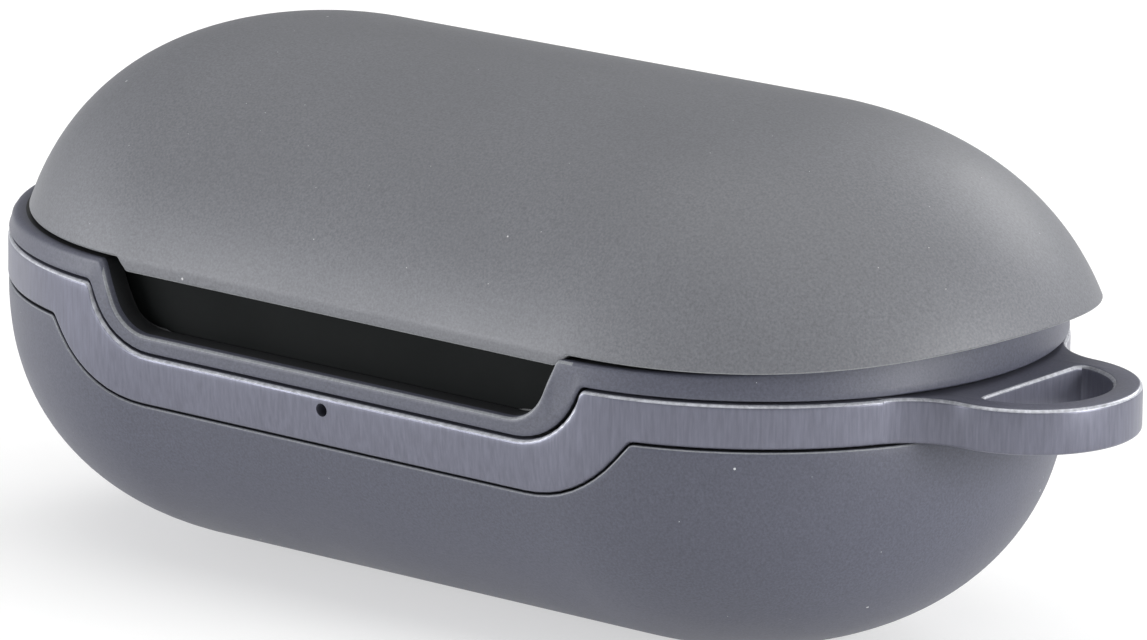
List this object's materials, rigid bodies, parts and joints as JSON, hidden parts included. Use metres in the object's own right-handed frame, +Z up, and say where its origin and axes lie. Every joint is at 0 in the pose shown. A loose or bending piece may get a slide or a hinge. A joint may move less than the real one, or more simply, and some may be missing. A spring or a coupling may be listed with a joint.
{
  "type": "wireless earbuds case",
  "caption": "Pill-shaped earbuds charging case in a two-tone protective cover with a carry loop and a finger notch.",
  "frame": {"origin": "middle of the flat that the case stands on, without counting the loop", "axes": "+Z up, +X along the case towards the carry loop, -Y towards the finger notch, hinge at +Y"},
  "size_m": [0.0814, 0.0388, 0.0326],
  "materials": {
    "sleeve": "soft-touch matt",
    "band": "satin",
    "lid_cover": "soft-touch matt",
    "case_plastic": "fine matt",
    "cradle_plastic": "satin black",
    "steel": "bright",
    "magnet": "nickel grey",
    "rubber": "matt",
    "board": "solder mask",
    "chip": "moulded",
    "lens": "clear",
    "cell": "foil",
    "copper": "enamelled copper",
    "gold": "gold plate",
    "bud_plastic": "satin black",
    "bud_gloss": "polished",
    "silicone": "silicone"
  },
  "bodies": {
    "base": {"base_sleeve": "sleeve", "carry_band": "band", "case_shell": "case_plastic", "cradle": "cradle_plastic", "hinge_pin": "steel", "tray_screws": "steel", "catch_magnets": "magnet", "lid_bumpers": "rubber", "circuit_board": "board", "board_chips": "chip", "status_light": "lens", "light_pipe": "lens", "charging_socket": "steel", "socket_tongue": "chip", "battery": "cell", "charging_coil": "copper", "coil_shield": "magnet", "pin_blocks": "chip"},
    "lid": {"lid_cover": "lid_cover", "lid_shell": "case_plastic", "lid_liner": "cradle_plastic", "lid_magnets": "magnet"},
    "right_earbud": {"right_bud_shell": "bud_plastic", "right_touch_cap": "bud_gloss", "right_ear_tip": "silicone", "right_nozzle_mesh": "steel", "right_bud_contacts": "gold"},
    "right_pins": {"right_charging_pins": "gold"},
    "left_earbud": {"left_bud_shell": "bud_plastic", "left_touch_cap": "bud_gloss", "left_ear_tip": "silicone", "left_nozzle_mesh": "steel", "left_bud_contacts": "gold"},
    "left_pins": {"left_charging_pins": "gold"}
  },
  "joints": [
    {"name": "lid_hinge", "type": "hinge", "parent": "base", "child": "lid", "pos_m": [0, 0.0186, 0.02053], "axis": [-1, 0, 0], "range_deg": [0, 100]},
    {"name": "right_earbud_lift", "type": "slide", "parent": "base", "child": "right_earbud", "axis": [0, 0, 1], "range_m": [0, 0.0012]},
    {"name": "right_pins_press", "type": "slide", "parent": "base", "child": "right_pins", "axis": [0, 0, 1], "range_m": [-0.0004, 0], "stiffness_N_per_m": 60},
    {"name": "left_earbud_lift", "type": "slide", "parent": "base", "child": "left_earbud", "axis": [0, 0, 1], "range_m": [0, 0.0012]},
    {"name": "left_pins_press", "type": "slide", "parent": "base", "child": "left_pins", "axis": [0, 0, 1], "range_m": [-0.0004, 0], "stiffness_N_per_m": 60}
  ]
}
